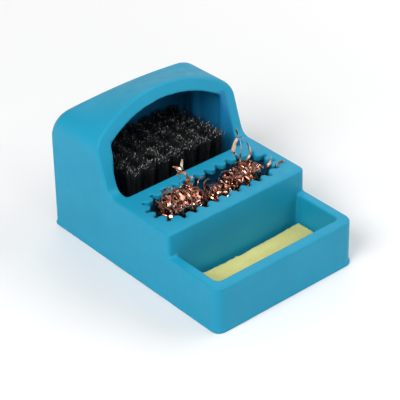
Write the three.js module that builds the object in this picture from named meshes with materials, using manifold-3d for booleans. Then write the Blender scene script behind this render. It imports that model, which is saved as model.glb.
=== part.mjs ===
// A moulded silicone stand that cleans soldering-iron tips: a tray with a damp sponge in
// front, a scalloped slot full of copper wool in the deck, and a stiff brush under a hood.
// Millimetres, +Z up. The origin is the centre of the footprint, on the table.
// Inside the model, x runs across from the middle, y back from the front face, z up.

import * as THREE from 'three';
import { mergeVertices } from 'three/addons/utils/BufferGeometryUtils.js';
import Module from 'manifold-3d';

const wasm = await Module();
wasm.setup();

// Overall size.
const width = 70.6;
const depth = 100;
const draftAngle = 0.25;            // degrees that the outer front and side walls lean in
const lip = { height: 1.6, reach: 0.35 };
const gap = 0.3;                    // clearance left between neighbouring pieces
const overshoot = 1;                // how far a cutting solid runs past the face it cuts

// The tray at the front.
const tray = { height: 20.2, frontWall: 5.2, sideWall: 4.5, floor: 3, corner: 4.2, innerCorner: 2 };

// The deck behind the tray, with its slot for the wool.
const deck = { front: 28, height: 30.5, corner: 1.8, ledge: 2.6 };
const slot = {
  front: 33.3, back: 54.1, halfLength: 30.6, corner: 8.5, floor: 8,
  notchPitch: 5.42, sideNotches: 4, endNotch: 2.45,  // notches on each half of a long side, and on an end
  lobeWidth: 0.7, lobeReach: 2.7, lobeSides: 16,
};

// The hood over the brush. Its mouth leans back from the deck.
const hood = { foot: 63.7, lean: 18, footFillet: 4, archEnd: 74, rearCorner: 1, rearEdge: 7 };
const skin = {
  halfWidth: 34.75, radius: 56, apex: 62.3, shoulder: 9, rearTop: 53, rearShoulder: 7,
  edge: hood.rearEdge, steps: 26, arcs: 12,
};
const bore = {
  halfWidth: 29.6, radius: 49, apex: 56.8, shoulder: 6, rearTop: 46.6, rearShoulder: 4,
  edge: 0, steps: 10, arcs: 12,
};
const chamber = { front: 58.9, back: 95.6, floor: 6 };
const rib = { depth: 1.8, halfWidth: 2.9, root: 1, top: 48, sides: 18, places: [69.8, 87.7] };

// The brush. Its board stands between the ribs.
const board = {
  halfWidth: bore.halfWidth - rib.depth - gap, front: 62, back: chamber.back - gap,
  thickness: 10, corner: 2, holeDepth: 6,
};
const tuft = {
  columns: 7, rows: 5, pitchX: 7, pitchY: 6.55, root: 2.1, tip: 3.1, tipRound: 0.6,
  shoulderDrop: 1.5, top: 36.6, sides: 8,
};

// The loose contents.
const sponge = { halfWidth: 29.9, front: 5.8, back: 26.7, thickness: 5.2, corner: 1.5 };
const wool = {
  halfLength: 26.2, front: 36.4, back: 49.6, corner: 6.4, valley: 29.5, hump: 34.5, round: 2.2,
  humpInner: 0.3, humpOuter: 0.85,  // where the curve over a bunch is pulled up, as shares of a half
};

const silicone = new THREE.MeshStandardMaterial({ color: 0x2496bf, roughness: 0.62, metalness: 0 });
const boardPlastic = new THREE.MeshStandardMaterial({ color: 0x1b1c1e, roughness: 0.5, metalness: 0 });
const bristle = new THREE.MeshStandardMaterial({ color: 0x26282a, roughness: 0.45, metalness: 0 });
const cellulose = new THREE.MeshStandardMaterial({ color: 0xe6e08a, roughness: 0.9, metalness: 0 });
const copper = new THREE.MeshStandardMaterial({ color: 0xb06a45, roughness: 0.3, metalness: 1 });

// Solids for joining and cutting.

function solidFrom(geometry) {
  const bare = geometry.clone();
  bare.deleteAttribute('normal');
  bare.deleteAttribute('uv');
  const merged = mergeVertices(bare, 1e-4);
  return new wasm.Manifold(new wasm.Mesh({
    numProp: 3,
    vertProperties: new Float32Array(merged.attributes.position.array),
    triVerts: new Uint32Array(merged.index.array),
  }));
}

function geometryFrom(solid) {
  const mesh = solid.getMesh();
  const geometry = new THREE.BufferGeometry();
  geometry.setAttribute('position', new THREE.BufferAttribute(mesh.vertProperties, 3));
  geometry.setIndex(new THREE.BufferAttribute(mesh.triVerts, 1));
  geometry.computeVertexNormals();
  return geometry;
}

// Straight prisms along each axis.

function alongZ(shape, bottom, top, curveSegments = 6) {
  const options = { depth: top - bottom, bevelEnabled: false, curveSegments };
  return new THREE.ExtrudeGeometry(shape, options).translate(0, 0, bottom);
}

function alongX(shape, halfLength, curveSegments = 6) {
  const options = { depth: 2 * halfLength, bevelEnabled: false, curveSegments };
  const toYZ = new THREE.Matrix4().makeBasis(
    new THREE.Vector3(0, 1, 0), new THREE.Vector3(0, 0, 1), new THREE.Vector3(1, 0, 0));
  return new THREE.ExtrudeGeometry(shape, options).applyMatrix4(toYZ).translate(-halfLength, 0, 0);
}

function alongY(shape, front, back, steps, curveSegments) {
  const options = { depth: back - front, bevelEnabled: false, curveSegments, steps };
  const toXZ = new THREE.Matrix4().makeBasis(
    new THREE.Vector3(1, 0, 0), new THREE.Vector3(0, 0, 1), new THREE.Vector3(0, -1, 0));
  return new THREE.ExtrudeGeometry(shape, options).applyMatrix4(toXZ).translate(0, back, 0);
}

// A plan outline: a rectangle whose front and back corners have their own radii.
function planShape(halfWidth, front, back, frontRadius, backRadius = frontRadius) {
  const shape = new THREE.Shape();
  shape.absarc(halfWidth - frontRadius, front + frontRadius, frontRadius, -Math.PI / 2, 0);
  shape.absarc(halfWidth - backRadius, back - backRadius, backRadius, 0, Math.PI / 2);
  shape.absarc(-halfWidth + backRadius, back - backRadius, backRadius, Math.PI / 2, Math.PI);
  shape.absarc(-halfWidth + frontRadius, front + frontRadius, frontRadius, Math.PI, 1.5 * Math.PI);
  return shape;
}

// The same outline raised to a height. Its front and sides lean in as they rise; its back doesn't.
function draftedBlock(halfWidth, front, back, frontRadius, backRadius, height) {
  const geometry = alongZ(planShape(halfWidth, front, back, frontRadius, backRadius), 0, height);
  const points = geometry.attributes.position;
  const slope = Math.tan(THREE.MathUtils.degToRad(draftAngle));
  for (let i = 0; i < points.count; i += 1) {
    const inward = slope * points.getZ(i);
    points.setX(i, points.getX(i) * (1 - inward / halfWidth));
    points.setY(i, back - (back - points.getY(i)) * (1 - inward / (back - front)));
  }
  return geometry;
}

// Height of the crown's outline at x: an arch with rounded shoulders at the mouth of the hood.
function archHeight(crown, x) {
  const centre = crown.apex - crown.radius;
  const shoulderX = crown.halfWidth - crown.shoulder;
  const rise = Math.sqrt((crown.radius - crown.shoulder) ** 2 - shoulderX ** 2);
  const tangentX = shoulderX * crown.radius / (crown.radius - crown.shoulder);
  if (Math.abs(x) <= tangentX) {
    return centre + Math.sqrt(crown.radius ** 2 - x ** 2);
  }
  const beyond = Math.min(Math.abs(x) - shoulderX, crown.shoulder);
  return centre + rise + Math.sqrt(crown.shoulder ** 2 - beyond ** 2);
}

// Height of the crown's outline at x at the back of the hood: flat, with rounded shoulders.
function rearHeight(crown, x) {
  const beyond = Math.max(Math.abs(x) - (crown.halfWidth - crown.rearShoulder), 0);
  const clipped = Math.min(beyond, crown.rearShoulder);
  return crown.rearTop - crown.rearShoulder + Math.sqrt(crown.rearShoulder ** 2 - clipped ** 2);
}

// How far the rounded back edge has dropped at y.
function roundOff(y, radius) {
  const past = Math.min(Math.max(y - (depth - lip.reach - radius), 0), radius);
  return radius - Math.sqrt(radius ** 2 - past ** 2);
}

// A tunnel under the crown, from a level bottom, that changes from the arch to the flat back.
function crownTunnel(crown, front, back, bottom, flare) {
  const centre = crown.apex - crown.radius;
  const shoulderX = crown.halfWidth - crown.shoulder;
  const rise = Math.sqrt((crown.radius - crown.shoulder) ** 2 - shoulderX ** 2);
  const turn = Math.atan2(rise, shoulderX);
  const shape = new THREE.Shape();
  shape.moveTo(-crown.halfWidth - flare, bottom);
  shape.lineTo(crown.halfWidth + flare, bottom);
  shape.absarc(shoulderX, centre + rise, crown.shoulder, 0, turn);
  shape.absarc(0, centre, crown.radius, turn, Math.PI - turn);
  shape.absarc(-shoulderX, centre + rise, crown.shoulder, Math.PI - turn, Math.PI);
  shape.closePath();
  const geometry = alongY(shape, front, back, crown.steps, crown.arcs);
  const points = geometry.attributes.position;
  for (let i = 0; i < points.count; i += 1) {
    const x = points.getX(i);
    const run = (points.getY(i) - front) / (back - front);
    const y = front + (back - front) * Math.sin(run * Math.PI / 2);
    const blend = Math.max((y - hood.archEnd) / (depth - hood.archEnd), 0);
    points.setY(i, y);
    if (points.getZ(i) > bottom + overshoot) {
      const fall = blend * (archHeight(crown, x) - rearHeight(crown, x)) + roundOff(y, crown.edge);
      points.setZ(i, points.getZ(i) - fall);
    }
  }
  return solidFrom(geometry);
}

// The side view of the hood: a mouth that leans back from a rounded foot, and a rounded back edge.
function hoodProfile() {
  const lean = THREE.MathUtils.degToRad(hood.lean);
  const top = skin.apex + 2 * overshoot;
  const tangent = hood.footFillet * Math.tan((Math.PI / 2 - lean) / 2);
  const centreY = hood.foot - tangent;
  const centreZ = deck.height + hood.footFillet;
  const shape = new THREE.Shape();
  shape.moveTo(centreY, 0);
  shape.lineTo(depth + overshoot, 0);
  shape.lineTo(depth + overshoot, top);
  shape.lineTo(hood.foot + (top - deck.height) * Math.tan(lean), top);
  shape.absarc(centreY, centreZ, hood.footFillet, -lean, -Math.PI / 2, true);
  shape.closePath();
  return shape;
}

// The notches around the slot, in order: along half a long side, past a corner, along half an end,
// and on around the other three quarters.
function slotNotches() {
  const halfDepth = (slot.back - slot.front) / 2;
  const cornerInset = slot.corner * (1 - Math.SQRT1_2);
  const quarter = [];
  for (let i = 0; i <= slot.sideNotches; i += 1) {
    quarter.push([i * slot.notchPitch, halfDepth]);
  }
  quarter.push([slot.halfLength - cornerInset, halfDepth - cornerInset]);
  quarter.push([slot.halfLength, slot.endNotch]);
  const flipped = (sideX, sideY) => quarter.map(([x, y]) => new THREE.Vector2(sideX * x, sideY * y));
  const ring = [
    ...flipped(1, 1), ...flipped(1, -1).reverse(),
    ...flipped(-1, -1).slice(1), ...flipped(-1, 1).reverse(),
  ];
  return ring.map((notch) => notch.add(new THREE.Vector2(0, slot.front + halfDepth)));
}

// The mouth of the slot: a rounded rectangle with an oval lobe standing into it between notches.
function slotMouth() {
  const bottom = deck.height - deck.ledge - overshoot;
  const top = deck.height + overshoot;
  const notches = slotNotches();
  const rim = planShape(slot.halfLength, slot.front, slot.back, slot.corner);
  let mouth = solidFrom(alongZ(rim, bottom, top));
  for (let i = 1; i < notches.length; i += 1) {
    const centre = notches[i - 1].clone().add(notches[i]).divideScalar(2);
    const chord = notches[i].clone().sub(notches[i - 1]);
    const lobe = new THREE.CylinderGeometry(1, 1, top - bottom + overshoot, slot.lobeSides);
    lobe.rotateX(Math.PI / 2).scale(slot.lobeWidth * chord.length() / 2, slot.lobeReach, 1);
    lobe.rotateZ(chord.angle()).translate(centre.x, centre.y, (top + bottom) / 2);
    mouth = mouth.subtract(solidFrom(lobe));
  }
  return mouth;
}

// A half-round rib that stands in from one side wall of the brush chamber.
function gripRib(side, place) {
  const height = rib.top - chamber.floor + rib.root;
  const bar = new THREE.CylinderGeometry(1, 1, height, rib.sides).rotateX(Math.PI / 2);
  bar.scale(rib.depth + rib.root, rib.halfWidth, 1);
  bar.translate(side * (bore.halfWidth + rib.root), place, rib.top - height / 2);
  return solidFrom(bar);
}

function housingGeometry() {
  const half = width / 2 - lip.reach;
  const back = depth - lip.reach;
  const base = alongZ(planShape(width / 2, 0, depth, tray.corner, hood.rearCorner), 0, lip.height);
  const trayBlock = draftedBlock(
    half, lip.reach, hood.foot, tray.corner, hood.rearCorner, tray.height);
  const trayHollow = alongZ(
    planShape(width / 2 - tray.sideWall, tray.frontWall, deck.front + tray.innerCorner,
      tray.innerCorner),
    tray.floor, tray.height + overshoot);
  const deckBlock = draftedBlock(
    half, deck.front, back, deck.corner, hood.rearCorner, deck.height);
  const hoodBlock = draftedBlock(
    half, deck.front, back, deck.corner, hood.rearCorner, skin.apex + overshoot);
  const slotPocket = alongZ(
    planShape(slot.halfLength, slot.front, slot.back, slot.corner),
    slot.floor, deck.height - deck.ledge);

  const behindMouth = solidFrom(alongX(hoodProfile(), width));
  const outer = solidFrom(hoodBlock)
    .intersect(behindMouth)
    .intersect(crownTunnel(skin, deck.front, depth + overshoot, -overshoot, 2 * overshoot))
    .add(solidFrom(deckBlock));
  const brushChamber = crownTunnel(bore, chamber.front, chamber.back, chamber.floor, 0);

  let housing = solidFrom(trayBlock)
    .add(solidFrom(base))
    .subtract(solidFrom(trayHollow))
    .add(outer)
    .subtract(slotMouth())
    .subtract(solidFrom(slotPocket))
    .subtract(brushChamber);
  for (const side of [-1, 1]) {
    for (const place of rib.places) {
      housing = housing.add(gripRib(side, place).intersect(behindMouth));
    }
  }
  return geometryFrom(housing);
}

function tuftPlaces() {
  const places = [];
  const middleY = (board.front + board.back) / 2;
  for (let row = 0; row < tuft.rows; row += 1) {
    for (let column = 0; column < tuft.columns; column += 1) {
      const x = (column - (tuft.columns - 1) / 2) * tuft.pitchX;
      const y = middleY + (row - (tuft.rows - 1) / 2) * tuft.pitchY;
      places.push({ row, column, x, y });
    }
  }
  return places;
}

const boardBottom = chamber.floor + gap;
const boardTop = boardBottom + board.thickness;

function boardGeometry() {
  const outline = () => planShape(board.halfWidth, board.front, board.back, board.corner);
  const drilled = outline();
  for (const place of tuftPlaces()) {
    const hole = new THREE.Path();
    hole.absarc(place.x, place.y, tuft.root + gap, 0, 2 * Math.PI, true);
    drilled.holes.push(hole);
  }
  const drilledLayer = alongZ(drilled, boardTop - board.holeDepth, boardTop, 5);
  const solidLayer = alongZ(outline(), boardBottom, boardTop - board.holeDepth, 5);
  return geometryFrom(solidFrom(drilledLayer).add(solidFrom(solidLayer)));
}

function tuftGeometry() {
  const root = boardTop - board.holeDepth + gap;
  const profile = [
    new THREE.Vector2(0, root),
    new THREE.Vector2(tuft.root, root),
    new THREE.Vector2(tuft.root, boardTop),
    new THREE.Vector2(tuft.tip, tuft.top - tuft.shoulderDrop),
    new THREE.Vector2(tuft.tip - tuft.tipRound, tuft.top),
    new THREE.Vector2(0, tuft.top),
  ];
  return new THREE.LatheGeometry(profile, tuft.sides).rotateX(Math.PI / 2);
}

function spongeGeometry() {
  const bottom = tray.floor + gap;
  const shape = planShape(sponge.halfWidth, sponge.front, sponge.back, sponge.corner);
  return alongZ(shape, bottom, bottom + sponge.thickness);
}

// The wool's outline seen from the front: a flat bottom and two bunches with a dip between.
function woolGeometry() {
  const bottom = slot.floor + gap + wool.round;
  const end = wool.halfLength - wool.round;
  const valley = wool.valley - wool.round;
  const pull = valley + (wool.hump - wool.valley) / 0.75;  // a curve tops out 3/4 of the way up
  const shape = new THREE.Shape();
  shape.moveTo(-end, bottom);
  shape.lineTo(end, bottom);
  shape.lineTo(end, valley);
  const outer = wool.humpOuter * end;
  const inner = wool.humpInner * end;
  shape.bezierCurveTo(outer, pull, inner, pull, 0, valley);
  shape.bezierCurveTo(-inner, pull, -outer, pull, -end, valley);
  shape.closePath();
  const options = {
    depth: wool.back - wool.front - 2 * wool.round,
    bevelSize: wool.round, bevelThickness: wool.round, bevelSegments: 2, curveSegments: 7,
  };
  const toXZ = new THREE.Matrix4().makeBasis(
    new THREE.Vector3(1, 0, 0), new THREE.Vector3(0, 0, 1), new THREE.Vector3(0, -1, 0));
  const bunches = new THREE.ExtrudeGeometry(shape, options)
    .applyMatrix4(toXZ).translate(0, wool.back - wool.round, 0);
  const plan = planShape(wool.halfLength, wool.front, wool.back, wool.corner);
  return geometryFrom(solidFrom(bunches).intersect(solidFrom(alongZ(plan, 0, deck.height * 2))));
}

function piece(name, geometry, material) {
  const mesh = new THREE.Mesh(geometry, material);
  mesh.name = name;
  return mesh;
}

const brush = new THREE.Group();
brush.add(piece('brush_base', boardGeometry(), boardPlastic));
for (const place of tuftPlaces()) {
  const bundle = piece(`tuft_r${place.row + 1}_c${place.column + 1}`, tuftGeometry(), bristle);
  bundle.position.set(place.x, place.y, 0);
  brush.add(bundle);
}

const stand = new THREE.Group();
stand.position.set(0, -depth / 2, 0);
stand.add(piece('housing', housingGeometry(), silicone));
stand.add(brush);
stand.add(piece('cleaning_sponge', spongeGeometry(), cellulose));
stand.add(piece('copper_wool', woolGeometry(), copper));

const model = new THREE.Group();
model.add(stand);

export default model;
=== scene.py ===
"""Looks of the soldering iron station: a silicone stand with a sponge, copper wool and a brush."""

import math

import bpy
import numpy as np
from mathutils import Matrix, Vector


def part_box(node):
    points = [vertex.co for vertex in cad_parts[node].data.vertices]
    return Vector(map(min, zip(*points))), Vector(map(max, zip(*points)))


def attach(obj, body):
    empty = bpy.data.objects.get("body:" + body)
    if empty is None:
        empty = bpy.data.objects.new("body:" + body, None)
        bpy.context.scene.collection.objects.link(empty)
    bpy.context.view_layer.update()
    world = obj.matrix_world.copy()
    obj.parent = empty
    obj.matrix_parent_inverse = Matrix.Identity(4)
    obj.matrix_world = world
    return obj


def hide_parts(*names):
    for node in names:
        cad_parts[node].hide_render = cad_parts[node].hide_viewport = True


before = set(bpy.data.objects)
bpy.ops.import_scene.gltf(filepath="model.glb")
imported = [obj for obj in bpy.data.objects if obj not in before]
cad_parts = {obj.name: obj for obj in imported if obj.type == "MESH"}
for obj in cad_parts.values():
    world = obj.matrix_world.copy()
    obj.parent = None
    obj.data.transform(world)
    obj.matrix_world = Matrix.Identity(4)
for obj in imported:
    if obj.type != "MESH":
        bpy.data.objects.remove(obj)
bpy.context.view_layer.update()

MM = 0.001
SCENE = bpy.context.scene

# Places on the stand, in millimetres: x across, y back from the middle, z up from the floor.
SLOT_X, SLOT_FRONT, SLOT_BACK = 30.6, -16.7, 4.1
# Boxes of the wool's pocket and the brush's chamber, where the silicone's colour is darkened as
# painted shade.
SHADED_POCKET_LOW, SHADED_POCKET_HIGH = (-32, -18, 6), (32, 5.4, 28.6)
SHADED_CHAMBER_LOW, SHADED_CHAMBER_HIGH = (-28.6, 9.2, 4.5), (30.6, 47, 50.5)


# ---------------------------------------------------------------- materials


class Shader:
    """A Principled material with a few helpers for building its node tree."""

    def __init__(self, name, colour, roughness, metallic=0.0):
        self.material = bpy.data.materials.new(name)
        self.material.use_nodes = True
        self.tree = self.material.node_tree
        self.bsdf = self.tree.nodes["Principled BSDF"]
        self.bsdf.inputs["Base Color"].default_value = (*colour, 1)
        self.bsdf.inputs["Roughness"].default_value = roughness
        self.bsdf.inputs["Metallic"].default_value = metallic
        self.position = self.tree.nodes.new("ShaderNodeTexCoord").outputs["Object"]

    def link(self, a, b):
        self.tree.links.new(a, b)

    def noise(self, per_metre, detail):
        node = self.tree.nodes.new("ShaderNodeTexNoise")
        node.inputs["Scale"].default_value = per_metre
        node.inputs["Detail"].default_value = detail
        self.link(self.position, node.inputs["Vector"])
        return node.outputs["Fac"]

    def cells(self, per_metre):
        node = self.tree.nodes.new("ShaderNodeTexVoronoi")
        node.inputs["Scale"].default_value = per_metre
        self.link(self.position, node.inputs["Vector"])
        return node.outputs["Distance"]

    def ramp(self, value, stops):
        node = self.tree.nodes.new("ShaderNodeValToRGB")
        elements = node.color_ramp.elements
        while len(elements) < len(stops):
            elements.new(0.5)
        for element, (place, colour) in zip(elements, stops):
            element.position = place
            element.color = (*colour, 1)
        self.link(value, node.inputs["Fac"])
        return node.outputs["Color"]

    def range(self, value, low, high, to_low, to_high):
        node = self.tree.nodes.new("ShaderNodeMapRange")
        node.inputs["From Min"].default_value = low
        node.inputs["From Max"].default_value = high
        node.inputs["To Min"].default_value = to_low
        node.inputs["To Max"].default_value = to_high
        self.link(value, node.inputs["Value"])
        return node.outputs["Result"]

    def inside(self, x0, y0, z0, x1, y1, z1):
        """1 inside a box given in millimetres, falling to 0 over its last millimetre."""
        split = self.tree.nodes.new("ShaderNodeSeparateXYZ")
        self.link(self.position, split.inputs["Vector"])
        shares = [
            self.range(split.outputs[axis], a * MM, b * MM, to_a, to_b)
            for axis, low, high in (("X", x0, x1), ("Y", y0, y1), ("Z", z0, z1))
            for a, b, to_a, to_b in ((low, low + 1, 0, 1), (high - 1, high, 1, 0))
        ]
        total = shares[0]
        for share in shares[1:]:
            node = self.tree.nodes.new("ShaderNodeMath")
            node.operation = "MULTIPLY"
            self.link(total, node.inputs[0])
            self.link(share, node.inputs[1])
            total = node.outputs["Value"]
        return total

    def mix(self, factor, a, b):
        node = self.tree.nodes.new("ShaderNodeMix")
        node.data_type = "RGBA"
        self.link(factor, node.inputs["Factor"])
        for value, socket in ((a, node.inputs["A"]), (b, node.inputs["B"])):
            if isinstance(value, tuple):
                socket.default_value = (*value, 1)
            else:
                self.link(value, socket)
        return node.outputs["Result"]

    def colour(self, value):
        self.link(value, self.bsdf.inputs["Base Color"])

    def rough(self, value):
        self.link(value, self.bsdf.inputs["Roughness"])

    def bump(self, value, height_mm, strength=1.0):
        """Adds relief on top of any that the material already has."""
        node = self.tree.nodes.new("ShaderNodeBump")
        node.inputs["Distance"].default_value = height_mm * MM
        node.inputs["Strength"].default_value = strength
        self.link(value, node.inputs["Height"])
        previous = self.bsdf.inputs["Normal"]
        if previous.is_linked:
            self.link(previous.links[0].from_socket, node.inputs["Normal"])
        self.link(node.outputs["Normal"], previous)


def silicone_material():
    """Mottled blue, with painted shade: a deeper blue painted inside the brush's chamber and the
    darkest blue painted in the wool's pocket.
    """
    s = Shader("silicone_blue", (0.008, 0.27, 0.43), 0.5)
    tone = s.ramp(s.noise(55, 2), [(0.3, (0.007, 0.26, 0.415)), (0.7, (0.009, 0.28, 0.445))])
    # Painted shade: the brush's chamber is painted a deeper blue than the silicone is.
    tone = s.mix(s.inside(*SHADED_CHAMBER_LOW, *SHADED_CHAMBER_HIGH), tone, (0.008, 0.175, 0.37))
    # Painted shade: the wool's pocket is painted near navy, darker than the silicone is.
    s.colour(s.mix(s.inside(*SHADED_POCKET_LOW, *SHADED_POCKET_HIGH), tone, (0.006, 0.10, 0.22)))
    s.rough(s.range(s.noise(260, 4), 0.3, 0.7, 0.44, 0.56))
    s.bump(s.noise(2600, 3), 0.012)
    s.bump(s.noise(180, 2), 0.03)
    s.bsdf.inputs["Specular IOR Level"].default_value = 0.25
    return s.material


def bristle_material():
    s = Shader("bristle_black", (0.008, 0.009, 0.010), 0.5)
    dark, light = (0.0065, 0.008, 0.009), (0.021, 0.025, 0.027)
    s.colour(s.ramp(s.noise(1500, 1), [(0.35, dark), (0.7, light)]))
    s.rough(s.range(s.noise(900, 1), 0.3, 0.7, 0.4, 0.6))
    s.bsdf.inputs["Specular IOR Level"].default_value = 0.3
    return s.material


def glint_tip_material():
    # Tips painted in pale grey specks, as painted glints on the bristles' ends.
    s = Shader("bristle_tip_painted_glint", (0.4, 0.41, 0.40), 0.5)
    dark, light = (0.07, 0.072, 0.072), (0.80, 0.80, 0.76)
    s.colour(s.ramp(s.noise(1900, 1), [(0.42, dark), (0.64, light)]))
    return s.material


def board_material():
    s = Shader("board_black", (0.02, 0.02, 0.022), 0.5)
    s.rough(s.range(s.noise(400, 3), 0.3, 0.7, 0.42, 0.62))
    s.bump(s.noise(1800, 2), 0.02)
    return s.material


def sponge_material():
    s = Shader("sponge_yellow", (0.58, 0.55, 0.18), 0.92)
    tone = s.ramp(s.noise(140, 3), [(0.3, (0.57, 0.545, 0.18)), (0.7, (0.65, 0.62, 0.225))])
    # The pits are painted darker, as painted shade in them.
    pit_shade = s.range(s.cells(900), 0.05, 0.35, 1.0, 0.0)
    s.colour(s.mix(pit_shade, tone, (0.53, 0.50, 0.16)))
    s.bump(s.cells(900), 0.10, 0.8)
    s.bump(s.noise(2600, 3), 0.05)
    s.bsdf.inputs["Sheen Weight"].default_value = 0.15
    return s.material


def copper_material():
    s = Shader("copper_ribbon", (0.50, 0.22, 0.14), 0.16, 1.0)
    s.colour(s.ramp(s.noise(420, 2), [(0.3, (0.31, 0.115, 0.07)), (0.7, (0.76, 0.42, 0.31))]))
    s.rough(s.range(s.noise(900, 2), 0.3, 0.7, 0.12, 0.26))
    s.bump(s.noise(1200, 2), 0.02)
    return s.material


def highlight_copper_material():
    # A paler copy of the copper for the raised blades: its creamy colour is a painted highlight
    # along them, its higher roughness is the blades' own.
    s = Shader("copper_blade_painted_highlight", (0.80, 0.55, 0.42), 0.3, 1.0)
    s.colour(s.ramp(s.noise(300, 2), [(0.42, (0.45, 0.19, 0.11)), (0.62, (0.97, 0.77, 0.60))]))
    s.rough(s.range(s.noise(700, 2), 0.3, 0.7, 0.2, 0.4))
    s.bump(s.noise(900, 2), 0.02)
    return s.material


def put_material(obj, *materials):
    """Clearing the list resets the slot of every face, so an empty list isn't cleared."""
    if obj.data.materials:
        obj.data.materials.clear()
    for material in materials:
        obj.data.materials.append(material)


# ---------------------------------------------------------------- mesh helpers


def new_object(name, vertices, faces, slots=None):
    """A smooth-shaded object, with a material slot for each face where slots are given."""
    mesh = bpy.data.meshes.new(name)
    mesh.from_pydata([tuple(v) for v in vertices], [], [tuple(f) for f in faces])
    mesh.polygons.foreach_set("use_smooth", [True] * len(mesh.polygons))
    if slots is not None:
        mesh.polygons.foreach_set("material_index", slots)
    mesh.update()
    obj = bpy.data.objects.new(name, mesh)
    SCENE.collection.objects.link(obj)
    return obj


def applied(obj):
    """Replaces an object's mesh by what its modifiers make of it."""
    graph = bpy.context.evaluated_depsgraph_get()
    mesh = bpy.data.meshes.new_from_object(obj.evaluated_get(graph))
    obj.modifiers.clear()
    obj.data = mesh


def soften(mesh, rounds):
    """Rounds the edges. Vertex i moves towards its neighbours' mean for rounds[i] passes."""
    count = len(mesh.vertices)
    points = np.empty(count * 3)
    mesh.vertices.foreach_get("co", points)
    points = points.reshape(-1, 3)
    ends = np.empty(len(mesh.edges) * 2, int)
    mesh.edges.foreach_get("vertices", ends)
    a, b = ends.reshape(-1, 2).T
    valence = np.bincount(a, minlength=count) + np.bincount(b, minlength=count)
    for step in range(int(np.ceil(rounds.max()))):
        total = np.stack([
            np.bincount(a, points[b, k], count) + np.bincount(b, points[a, k], count)
            for k in range(3)
        ], axis=1)
        share = 0.5 * np.clip(rounds - step, 0, 1)[:, None]
        points += share * (total / valence[:, None] - points)
    mesh.vertices.foreach_set("co", points.ravel())
    mesh.update()


# ---------------------------------------------------------------- the moulding


HOUSING_VOXEL = 0.3 * MM
MOST_FACES = 185_000
WELD_DISTANCE = 0.001 * MM
# Softening passes by region, as they are for a voxel of PASSES_VOXEL.
PASSES_VOXEL = 0.5 * MM
HOOD_PASSES, DECK_PASSES, TRAY_PASSES = 8.0, 6.5, 5.0
SLOT_PASSES, REAR_CORNER_PASSES, FOOT_PASSES = 2.2, 2.0, 2.0


def fade(depth, over):
    """0 outside a region, rising to 1 at a depth of `over` millimetres inside it."""
    return np.clip(depth / over, 0, 1)


def edge_rounds(points):
    """How many softening passes each point of the moulding gets, by where it is."""
    x, y, z = (points / MM).T
    aside = np.abs(x)
    deck = fade(8 - y, 3)
    rear_corner = fade(y - 46.5, 2) * fade(aside - 32.5, 1) * fade(44 - z, 4)
    tray = fade(-22 - y, 2) * fade(24 - z, 2)
    slot = (
        fade(SLOT_X + 1.6 - aside, 1.2)
        * fade(y - SLOT_FRONT + 2.2, 1.5)
        * fade(SLOT_BACK + 2.2 - y, 1.5)
    )
    foot = fade(4 - z, 1.5)
    rounds = np.full(len(points), HOOD_PASSES)
    for region, passes in (
        (deck, DECK_PASSES),
        (rear_corner, REAR_CORNER_PASSES),
        (tray, TRAY_PASSES),
        (slot, SLOT_PASSES),
        (foot, FOOT_PASSES),
    ):
        rounds += region * (passes - rounds)
    return rounds * (PASSES_VOXEL / HOUSING_VOXEL) ** 2


def make_housing(material):
    """The CAD housing's own mesh, remeshed finely and softened at its edges."""
    housing = bpy.data.objects.new("moulded_housing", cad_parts["housing"].data.copy())
    SCENE.collection.objects.link(housing)
    weld = housing.modifiers.new("weld", "WELD")
    weld.merge_threshold = WELD_DISTANCE
    remesh = housing.modifiers.new("remesh", "REMESH")
    remesh.mode = "VOXEL"
    remesh.voxel_size = HOUSING_VOXEL
    applied(housing)
    mesh = housing.data
    points = np.empty(len(mesh.vertices) * 3)
    mesh.vertices.foreach_get("co", points)
    soften(mesh, edge_rounds(points.reshape(-1, 3)))
    thin = housing.modifiers.new("thin", "DECIMATE")
    mesh.calc_loop_triangles()
    thin.ratio = min(1.0, MOST_FACES / len(mesh.loop_triangles))
    applied(housing)
    mesh = housing.data
    mesh.polygons.foreach_set("use_smooth", [True] * len(mesh.polygons))
    put_material(housing, material)
    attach(housing, "stand")
    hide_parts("housing")


# ---------------------------------------------------------------- the brush

TUFT_ROWS, TUFT_COLUMNS, BRISTLES = 5, 7, 150
TUFT_TOP, ROOT_ABOVE_BASE, ROOT_SPREAD = 36.2, 4.0, 1.9
BRISTLE_SIDES, THINNEST, THICKEST, TIP_TAPER = 3, 0.07, 0.11, 0.8
LEVELS = (0.0, 0.4, 0.75, 0.965, 1.0)  # shares of a bristle's height; its tip is the last span
# The pale tips are painted glints on the bristles' ends, most of them in the front row.
GLINT_TIPS = (0.25, 0.18, 0.15, 0.12, 0.09)  # share of paler tips in each row, front row first
SHAFT_SLOT, GLINT_TIP_SLOT = 0, 1


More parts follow.
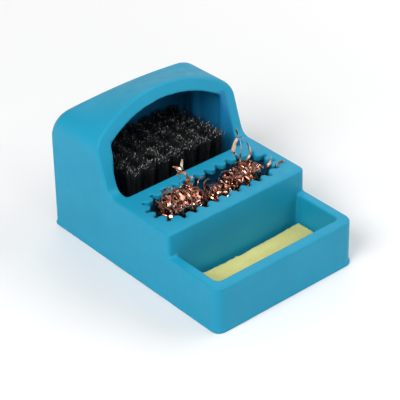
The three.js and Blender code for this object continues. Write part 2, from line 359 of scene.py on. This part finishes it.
def bristle_mesh(random, low, high, count, glint_share):
    """Vertices, faces and material slots of one tuft's bristles."""
    middle = (low + high) / 2
    root_z = low[2] + ROOT_ABOVE_BASE
    vertices, faces, slots = [], [], []
    for _ in range(count):
        turn = random.uniform(0, 2 * math.pi)
        share = math.sqrt(random.uniform(0, 1))
        out = np.array([math.cos(turn), math.sin(turn)])
        root = out * share * ROOT_SPREAD
        splay = share * random.uniform(2.2, 3.7) + random.normal(0, 0.25)
        tip = out * splay + random.normal(0, 0.30, 2)
        top = TUFT_TOP + random.normal(0, 0.6) - 0.5 * share
        bend = random.normal(0, 0.35, 2)
        radius = random.uniform(THINNEST, THICKEST)
        # A share of the tips gets the pale tip material, a painted glint.
        tip_slot = GLINT_TIP_SLOT if random.uniform() < glint_share else SHAFT_SLOT
        first = len(vertices)
        for level, t in enumerate(LEVELS):
            spread = t ** 1.7
            kick = bend * math.sin(t * math.pi) + (random.normal(0, 0.5, 2) if t == 1 else 0)
            centre = middle[:2] + root + (tip - root) * spread + kick
            z = root_z + (top - root_z) * t
            size = radius * (1.0 if t < 1 else TIP_TAPER)
            for k in range(BRISTLE_SIDES):
                angle = turn + 2 * math.pi * k / BRISTLE_SIDES
                vertices.append((
                    centre[0] + size * math.cos(angle), centre[1] + size * math.sin(angle), z))
            if level:
                below = first + (level - 1) * BRISTLE_SIDES
                for k in range(BRISTLE_SIDES):
                    j = (k + 1) % BRISTLE_SIDES
                    faces.append((below + k, below + j, below + BRISTLE_SIDES + j,
                                  below + BRISTLE_SIDES + k))
                    slots.append(tip_slot if level == len(LEVELS) - 1 else SHAFT_SLOT)
        last = first + (len(LEVELS) - 1) * BRISTLE_SIDES
        faces.append(tuple(range(last, last + BRISTLE_SIDES)))
        slots.append(tip_slot)
        faces.append(tuple(range(first + BRISTLE_SIDES - 1, first - 1, -1)))
        slots.append(SHAFT_SLOT)
    return np.array(vertices) * MM, faces, slots


def make_brush(shaft, tip, board):
    put_material(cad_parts["brush_base"], board)
    for row in range(1, TUFT_ROWS + 1):
        for column in range(1, TUFT_COLUMNS + 1):
            node = f"tuft_r{row}_c{column}"
            low, high = (np.array(corner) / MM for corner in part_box(node))
            random = np.random.default_rng(100 * row + column)
            mesh_data = bristle_mesh(random, low, high, BRISTLES, GLINT_TIPS[row - 1])
            tuft = new_object(f"bristles_r{row}_c{column}", *mesh_data)
            put_material(tuft, shaft, tip)
            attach(tuft, "stand")
            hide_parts(node)


# ---------------------------------------------------------------- the copper wool


WOOL_SEED = 4
RIBBON_THICKNESS = 0.12
CURL_SLOT, HIGHLIT_BLADE_SLOT, BLADE_WIDTH = 0, 1, 0.7
# The height of the wool's top along the slot.
TOP_X = (-26.5, -24, -20, -15, -10, -5, 0, 5, 10, 14, 18, 22, 26.5)
TOP_Z = (31.5, 35, 36.8, 36, 33.6, 31.2, 30.4, 31, 33, 34.2, 33.6, 31, 27.5)
# The middle of each bunch and its number of curls.
BUNCHES = ((-17.5, -8.2, 30.4, 20), (12.0, -7.8, 28.6, 18))
# The depth of each layer under the wool's top and its number of curls.
LAYERS = ((2.6, 24), (5.2, 26), (9.5, 34), (14.0, 34), (18.5, 30))
# The width and the path of each loop and blade that stands up out of the slot.
RAISED = (
    (1.1, ((-10.5, -8, 30), (-11.8, -8.5, 36), (-13.2, -7.5, 41.5), (-15.2, -7, 45.2),
           (-14.6, -6.6, 48.2))),
    (1.3, ((-9.5, -7, 31), (-12.6, -7.6, 38), (-14.8, -8.6, 42.8), (-17.6, -7.8, 44.6),
           (-19.0, -7.0, 47.4))),
    (0.9, ((-19.2, -6.6, 47.0), (-16.8, -8.2, 45.6), (-15.6, -7.2, 43.4), (-16.9, -6.2, 41.9),
           (-15, -6, 39.5))),
    (1.0, ((-12, -7, 33), (-10.2, -8, 37.5), (-12, -9, 40.4), (-14.2, -8, 39),
           (-12.6, -6.8, 35.5))),
    (1.5, ((13.2, -8, 31), (14.0, -7.2, 36.4), (12.4, -7.4, 39.4), (10.6, -7, 41),
           (11.6, -6.8, 44.4), (13.2, -6.4, 47))),
    (1.0, ((13.0, -7.4, 33), (14.6, -7.0, 40.2), (14.2, -6.8, 45.6), (13.4, -6.4, 48),
           (13.1, -6.0, 50.4))),
    (0.45, ((12.2, -6.8, 44.6), (14.6, -6.6, 46.2), (17.4, -6.6, 43.6), (18.9, -6.8, 39.6),
            (19.0, -7.4, 35.6))),
    (0.8, ((15.0, -9, 30), (15.8, -8.2, 34.8), (18.6, -7.8, 37.2), (19.0, -7.2, 40.4))),
    (0.6, ((-23.4, -9, 30), (-25.4, -7.6, 33.6), (-24.6, -6.8, 37), (-21.6, -7.4, 38.6),
           (-18.4, -8.4, 37.8))),
    (1.0, ((23.0, -11.5, 27.5), (24.6, -11.2, 30.2), (26.6, -10.8, 32.0), (27.6, -10.6, 34.0))),
    (0.9, ((24.6, -12.2, 27), (27.0, -12.6, 29.8), (29.0, -13.2, 31.4), (31.2, -13.8, 31.9))),
    (0.5, ((-4, -6.4, 29), (-2, -4.6, 31.8), (1.2, -3.6, 31.2), (3.2, -4.4, 28))),
    (0.5, ((-7, -6, 30), (-4.6, -4.2, 33.8), (-1.8, -3.4, 33.4), (-1, -3.8, 29))),
)


def wool_top(x):
    return float(np.interp(x, TOP_X, TOP_Z))


class Ribbons:
    """Collects flat ribbons that follow paths, in millimetres, as one mesh."""

    def __init__(self):
        self.vertices, self.faces, self.slots = [], [], []

    def add(self, path, across, width, slot=CURL_SLOT):
        along = np.gradient(path, axis=0)
        along /= np.linalg.norm(along, axis=1)[:, None] + 1e-9
        across = across - along * np.sum(across * along, axis=1)[:, None]
        across /= np.linalg.norm(across, axis=1)[:, None] + 1e-9
        normal = np.cross(along, across)
        from_ends = np.minimum(np.linspace(0, 6, len(path)), np.linspace(6, 0, len(path)))
        half = 0.5 * width * np.clip(0.35 + from_ends, 0, 1)[:, None]
        first = len(self.vertices)
        rows = np.stack([
            path - across * half - normal * RIBBON_THICKNESS / 2,
            path + across * half - normal * RIBBON_THICKNESS / 2,
            path + across * half + normal * RIBBON_THICKNESS / 2,
            path - across * half + normal * RIBBON_THICKNESS / 2,
        ], axis=1)
        self.vertices.extend(rows.reshape(-1, 3))
        for i in range(len(path) - 1):
            a = first + 4 * i
            for k in range(4):
                j = (k + 1) % 4
                self.faces.append((a + k, a + j, a + 4 + j, a + 4 + k))
        self.faces.append((first + 3, first + 2, first + 1, first))
        last = first + 4 * (len(path) - 1)
        self.faces.append((last, last + 1, last + 2, last + 3))
        self.slots += [slot] * (len(self.faces) - len(self.slots))

    def object(self, name):
        """The ribbons as one object, with sharp edges along their length."""
        obj = new_object(name, np.array(self.vertices) * MM, self.faces, self.slots)
        mesh = obj.data
        ends = np.empty(len(mesh.edges) * 2, int)
        mesh.edges.foreach_get("vertices", ends)
        a, b = ends.reshape(-1, 2).T
        sharp = np.abs(a - b) == 4
        attribute = mesh.attributes.new("sharp_edge", "BOOLEAN", "EDGE")
        attribute.data.foreach_set("value", sharp)
        return obj


def smooth_path(knots, count):
    """A Catmull-Rom curve through knots, as count points."""
    knots = np.asarray(knots, float)
    padded = np.vstack([2 * knots[0] - knots[1], knots, 2 * knots[-1] - knots[-2]])
    points = []
    for s in np.linspace(0, len(knots) - 1 - 1e-6, count):
        i = int(s)
        t = s - i
        p0, p1, p2, p3 = padded[i:i + 4]
        points.append(0.5 * (2 * p1 + (p2 - p0) * t + (2 * p0 - 5 * p1 + 4 * p2 - p3) * t ** 2
                             + (3 * p1 - p0 - 3 * p2 + p3) * t ** 3))
    return np.array(points)


def coil(random, centre_line, radius, turns, count):
    """A curl that winds round a centre line, and the direction across its ribbon."""
    line = smooth_path(centre_line, count)
    along = np.gradient(line, axis=0)
    along /= np.linalg.norm(along, axis=1)[:, None]
    side = np.cross(along, [0.13, 0.31, 0.94])
    side /= np.linalg.norm(side, axis=1)[:, None]
    up = np.cross(side, along)
    phase = random.uniform(0, 2 * math.pi)
    direction = random.choice([-1, 1])
    angle = phase + direction * np.linspace(0, 2 * math.pi * turns, count)
    wobble = radius * (1 + 0.2 * np.sin(angle * random.uniform(0.21, 0.43) + phase))
    path = line + wobble[:, None] * (
        np.cos(angle)[:, None] * side + np.sin(angle)[:, None] * up)
    return path, along


def tilted_axis(random, yaw_mean, yaw_spread, pitch_spread):
    """A direction near the x axis."""
    yaw, pitch = random.normal(yaw_mean, yaw_spread), random.normal(0, pitch_spread)
    return np.array([
        math.cos(yaw) * math.cos(pitch), math.sin(yaw) * math.cos(pitch), math.sin(pitch)])


def make_wool(material, highlit):
    random = np.random.default_rng(WOOL_SEED)
    ribbons = Ribbons()
    low, high = (np.array(corner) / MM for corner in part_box("copper_wool"))
    inside_low = low + np.array([0.2, 0.1, 0.3])
    inside_high = np.array([high[0] - 0.2, high[1] - 2.4, 0])

    def held(path):
        """Keeps a path inside the slot and under the wool's top."""
        path[:, 0] = np.clip(path[:, 0], inside_low[0], inside_high[0])
        path[:, 1] = np.clip(path[:, 1], inside_low[1], inside_high[1])
        tops = np.array([wool_top(x) for x in path[:, 0]])
        path[:, 2] = np.clip(path[:, 2], inside_low[2], tops + 1.2)
        return path

    def add_curl(middle, axis, length, radius, turns, points_per_turn, shake, twist, widths):
        knots = [middle + axis * length * (share - 0.5) + random.normal(0, shake, 3)
                 for share in (0, 0.33, 0.67, 1)]
        path, across = coil(random, knots, radius, turns, int(points_per_turn * turns))
        across = across + random.normal(0, twist, 3)
        ribbons.add(held(path), across, random.uniform(*widths))

    for centre_x, centre_y, centre_z, count in BUNCHES:
        for _ in range(count):
            x = centre_x + random.uniform(-6.5, 6.5)
            z = centre_z + random.normal(0, 0.5)
            radius = random.uniform(0.45, 1.0) * (wool_top(x) + 0.9 - z)
            axis = tilted_axis(random, 0.1, 0.35, 0.22)
            turns = random.uniform(1.3, 2.8)
            length = turns * random.uniform(0.6, 1.4)
            middle = np.array([x, centre_y + random.normal(0, 0.6), z])
            add_curl(middle, axis, length, radius, turns, 24, 0.25, 0.25, (0.5, 1.0))
    for depth, count in LAYERS:
        for _ in range(count):
            radius = random.uniform(1.8, 3.4)
            x = random.uniform(-23.5, 22.5)
            y = random.uniform(low[1] + radius, high[1] - 3.2 - radius)
            axis = tilted_axis(random, 0, 0.5, 0.35)
            turns = random.uniform(2.0, 4.5)
            length = turns * random.uniform(0.9, 1.7)
            z = max(wool_top(x) - depth + random.normal(0, 0.7), inside_low[2] + radius)
            middle = np.array([x, y, z])
            add_curl(middle, axis, length, radius, turns, 16, 0.5, 0.2, (0.45, 0.95))
    for width, knots in RAISED:
        path = smooth_path(knots, 8 * len(knots))
        turn = np.linspace(0, random.uniform(1.5, 4.0), len(path))
        across = np.stack([np.cos(turn), np.sin(turn), np.full(len(path), 0.2)], axis=1)
        # Wider raised ribbons take the paler copper, a painted highlight.
        ribbons.add(path, across, width, HIGHLIT_BLADE_SLOT if width > BLADE_WIDTH else CURL_SLOT)

    wool = ribbons.object("copper_ribbons")
    put_material(wool, material, highlit)
    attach(wool, "wool")
    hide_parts("copper_wool")


# ---------------------------------------------------------------- the sponge


SPONGE_SEED, EDGE_SEED, FACE_SEED = 11, 5, 3
SPONGE_CURL, LEFT_CURL, LEFT_CURL_REACH = 1.1, 1.0, 0.15  # mm, mm, share of the width
TORN_AT, TORN_WIDTH, TORN_OUT = 0.45, 0.012, 0.7  # share and share of the width, mm
ROUNDED = 0.6  # mm in from each edge


def make_sponge(material):
    """A thin pad with raised ends, a ragged rear edge and rounded edges all round."""
    low, high = (np.array(corner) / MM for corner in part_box("cleaning_sponge"))
    random = np.random.default_rng(SPONGE_SEED)
    columns, rows, layers = 120, 44, 8
    size = high - low

    def ripple(u, v, seed):
        waves = np.random.default_rng(seed)
        total = 0
        for k in range(1, 7):
            total = total + math.sin(
                2 * math.pi * (k * 0.9 * u + waves.uniform(0, 1))) * math.cos(
                2 * math.pi * (k * 0.55 * v + waves.uniform(0, 1))) / k
        return total

    frayed = np.convolve(random.normal(0, 1, columns + 9), np.ones(4) / 4, "same")
    frayed = frayed[4:4 + columns + 1]

    def place(i, j, k):
        u, v, w = i / columns, j / rows, k / layers
        x = low[0] + size[0] * u
        torn = TORN_OUT * math.exp(-((u - TORN_AT) / TORN_WIDTH) ** 2)
        from_middle = abs(2 * u - 1) ** 1.5
        ragged = 0.24 * frayed[i] + 0.22 * ripple(u, 0.2, EDGE_SEED) + torn
        back = min(high[1] - 0.8 + 0.5 * from_middle + ragged, high[1])
        y = low[1] + (back - low[1]) * v
        z = low[2] + SPONGE_CURL * from_middle + (size[2] - SPONGE_CURL - 0.1) * w
        z += LEFT_CURL * math.exp(-(u / LEFT_CURL_REACH) ** 2)
        edge = min(min(u, 1 - u) * size[0], min(v, 1 - v) * size[1])
        if edge < ROUNDED:
            z += (0.5 - w) * 0.5 * (1 - edge / ROUNDED)
        if w == 1:
            z += 0.14 * ripple(u, v, FACE_SEED) - 0.1 + random.normal(0, 0.03)
        pull = 0.12 * (1 - abs(2 * w - 1))
        if i in (0, columns):
            x += pull if i == 0 else -pull
        if j in (0, rows):
            y += pull if j == 0 else -pull
        return x, y, z

    index, vertices, faces = {}, [], []

    def vertex(i, j, k):
        if (i, j, k) not in index:
            index[i, j, k] = len(vertices)
            vertices.append(place(i, j, k))
        return index[i, j, k]

    def add_face(order, *corners):
        faces.append([vertex(*corner) for corner in corners][::order])

    for i in range(columns):
        for j in range(rows):
            for k, order in ((layers, 1), (0, -1)):
                add_face(order, (i, j, k), (i + 1, j, k), (i + 1, j + 1, k), (i, j + 1, k))
    for k in range(layers):
        for i in range(columns):
            for j, order in ((0, 1), (rows, -1)):
                add_face(order, (i, j, k), (i + 1, j, k), (i + 1, j, k + 1), (i, j, k + 1))
        for j in range(rows):
            for i, order in ((0, -1), (columns, 1)):
                add_face(order, (i, j, k), (i, j + 1, k), (i, j + 1, k + 1), (i, j, k + 1))
    sponge = new_object("sponge_pad", np.array(vertices) * MM, faces)
    put_material(sponge, material)
    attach(sponge, "sponge")
    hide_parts("cleaning_sponge")


# ---------------------------------------------------------------- camera, lights and floor


# Metres and radians.
CAMERA_PLACE = (-0.354791, -0.419760, 0.382572)
CAMERA_AZIMUTH, CAMERA_ELEVATION, CAMERA_ROLL = -0.7008157, 0.5827304, -0.0171578
CAMERA_LENS = 151.368
LIT_POINT = (0, 0, 0.03)
# The name, place, size and watts of each light. The small ones make glints on the copper.
LIGHTS = (
    ("key_left", (-0.55, -0.15, 0.55), (0.5, 0.4), 5.1),
    ("right", (0.6, -0.3, 0.45), (0.8, 0.6), 3.9),
    ("rear", (0.52, 0.62, 0.56), (0.7, 0.5), 2.2),
    ("spark_front", (-0.10, -0.70, 0.55), (0.07, 0.07), 0.5),
    ("spark_left", (-0.70, -0.30, 0.60), (0.07, 0.07), 0.4),
    ("spark_high", (-0.10, -0.10, 0.85), (0.07, 0.07), 0.4),
)
WORLD_AS_LIGHT, WORLD_AS_SEEN = 0.26, 0.9
FLOOR_SIZE, FLOOR_GLOW_FROM, FLOOR_GLOW_TO, FLOOR_GLOW = 6, 0.15, 1.1, 0.6


def make_camera():
    azimuth, elevation, roll = CAMERA_AZIMUTH, CAMERA_ELEVATION, CAMERA_ROLL
    back = Vector((math.sin(azimuth) * math.cos(elevation),
                   -math.cos(azimuth) * math.cos(elevation), math.sin(elevation)))
    right = (-back).cross(Vector((0, 0, 1))).normalized()
    up = right.cross(-back)
    turned_right = math.cos(roll) * right + math.sin(roll) * up
    turned_up = -math.sin(roll) * right + math.cos(roll) * up
    data = bpy.data.cameras.new("camera")
    data.lens = CAMERA_LENS
    data.sensor_width = 36
    data.clip_start = 0.01
    data.clip_end = 20
    camera = bpy.data.objects.new("camera", data)
    matrix = Matrix((turned_right, turned_up, back)).transposed().to_4x4()
    matrix.translation = Vector(CAMERA_PLACE)
    camera.matrix_world = matrix
    SCENE.collection.objects.link(camera)
    SCENE.camera = camera


def area_light(name, place, size, watts):
    data = bpy.data.lights.new(name, "AREA")
    data.shape = "RECTANGLE"
    data.size, data.size_y = size
    data.energy = watts
    light = bpy.data.objects.new(name, data)
    light.location = place
    aim = Vector(LIT_POINT) - Vector(place)
    light.rotation_euler = aim.to_track_quat("-Z", "Y").to_euler()
    SCENE.collection.objects.link(light)


def make_world():
    """A white world that is brighter to the camera than as a light."""
    world = bpy.data.worlds.new("studio")
    world.use_nodes = True
    nodes, links = world.node_tree.nodes, world.node_tree.links
    background = nodes["Background"]
    background.inputs["Color"].default_value = (1, 1, 1, 1)
    strength = nodes.new("ShaderNodeMapRange")
    strength.inputs["To Min"].default_value = WORLD_AS_LIGHT
    strength.inputs["To Max"].default_value = WORLD_AS_SEEN
    path = nodes.new("ShaderNodeLightPath")
    links.new(path.outputs["Is Camera Ray"], strength.inputs["Value"])
    links.new(strength.outputs["Result"], background.inputs["Strength"])
    SCENE.world = world


def make_floor():
    """A pale floor that glows a little away from the stand, so that it fades to white."""
    bpy.ops.mesh.primitive_plane_add(size=FLOOR_SIZE, location=(0, 0, 0))
    floor = bpy.context.object
    floor.name = "floor"
    paper = Shader("floor_paper", (0.82, 0.82, 0.82), 0.9)
    paper.rough(paper.range(paper.noise(30, 2), 0, 1, 0.85, 0.95))
    distance = paper.tree.nodes.new("ShaderNodeVectorMath")
    distance.operation = "LENGTH"
    paper.link(paper.position, distance.inputs[0])
    glow = paper.range(
        distance.outputs["Value"], FLOOR_GLOW_FROM, FLOOR_GLOW_TO, 0.0, FLOOR_GLOW)
    paper.link(glow, paper.bsdf.inputs["Emission Strength"])
    paper.bsdf.inputs["Emission Color"].default_value = (1, 1, 1, 1)
    put_material(floor, paper.material)


def make_studio():
    SCENE.view_settings.view_transform = "Standard"
    make_world()
    for light in LIGHTS:
        area_light(*light)
    make_floor()


make_camera()
make_studio()
make_housing(silicone_material())
make_brush(bristle_material(), glint_tip_material(), board_material())
make_wool(copper_material(), highlight_copper_material())
make_sponge(sponge_material())
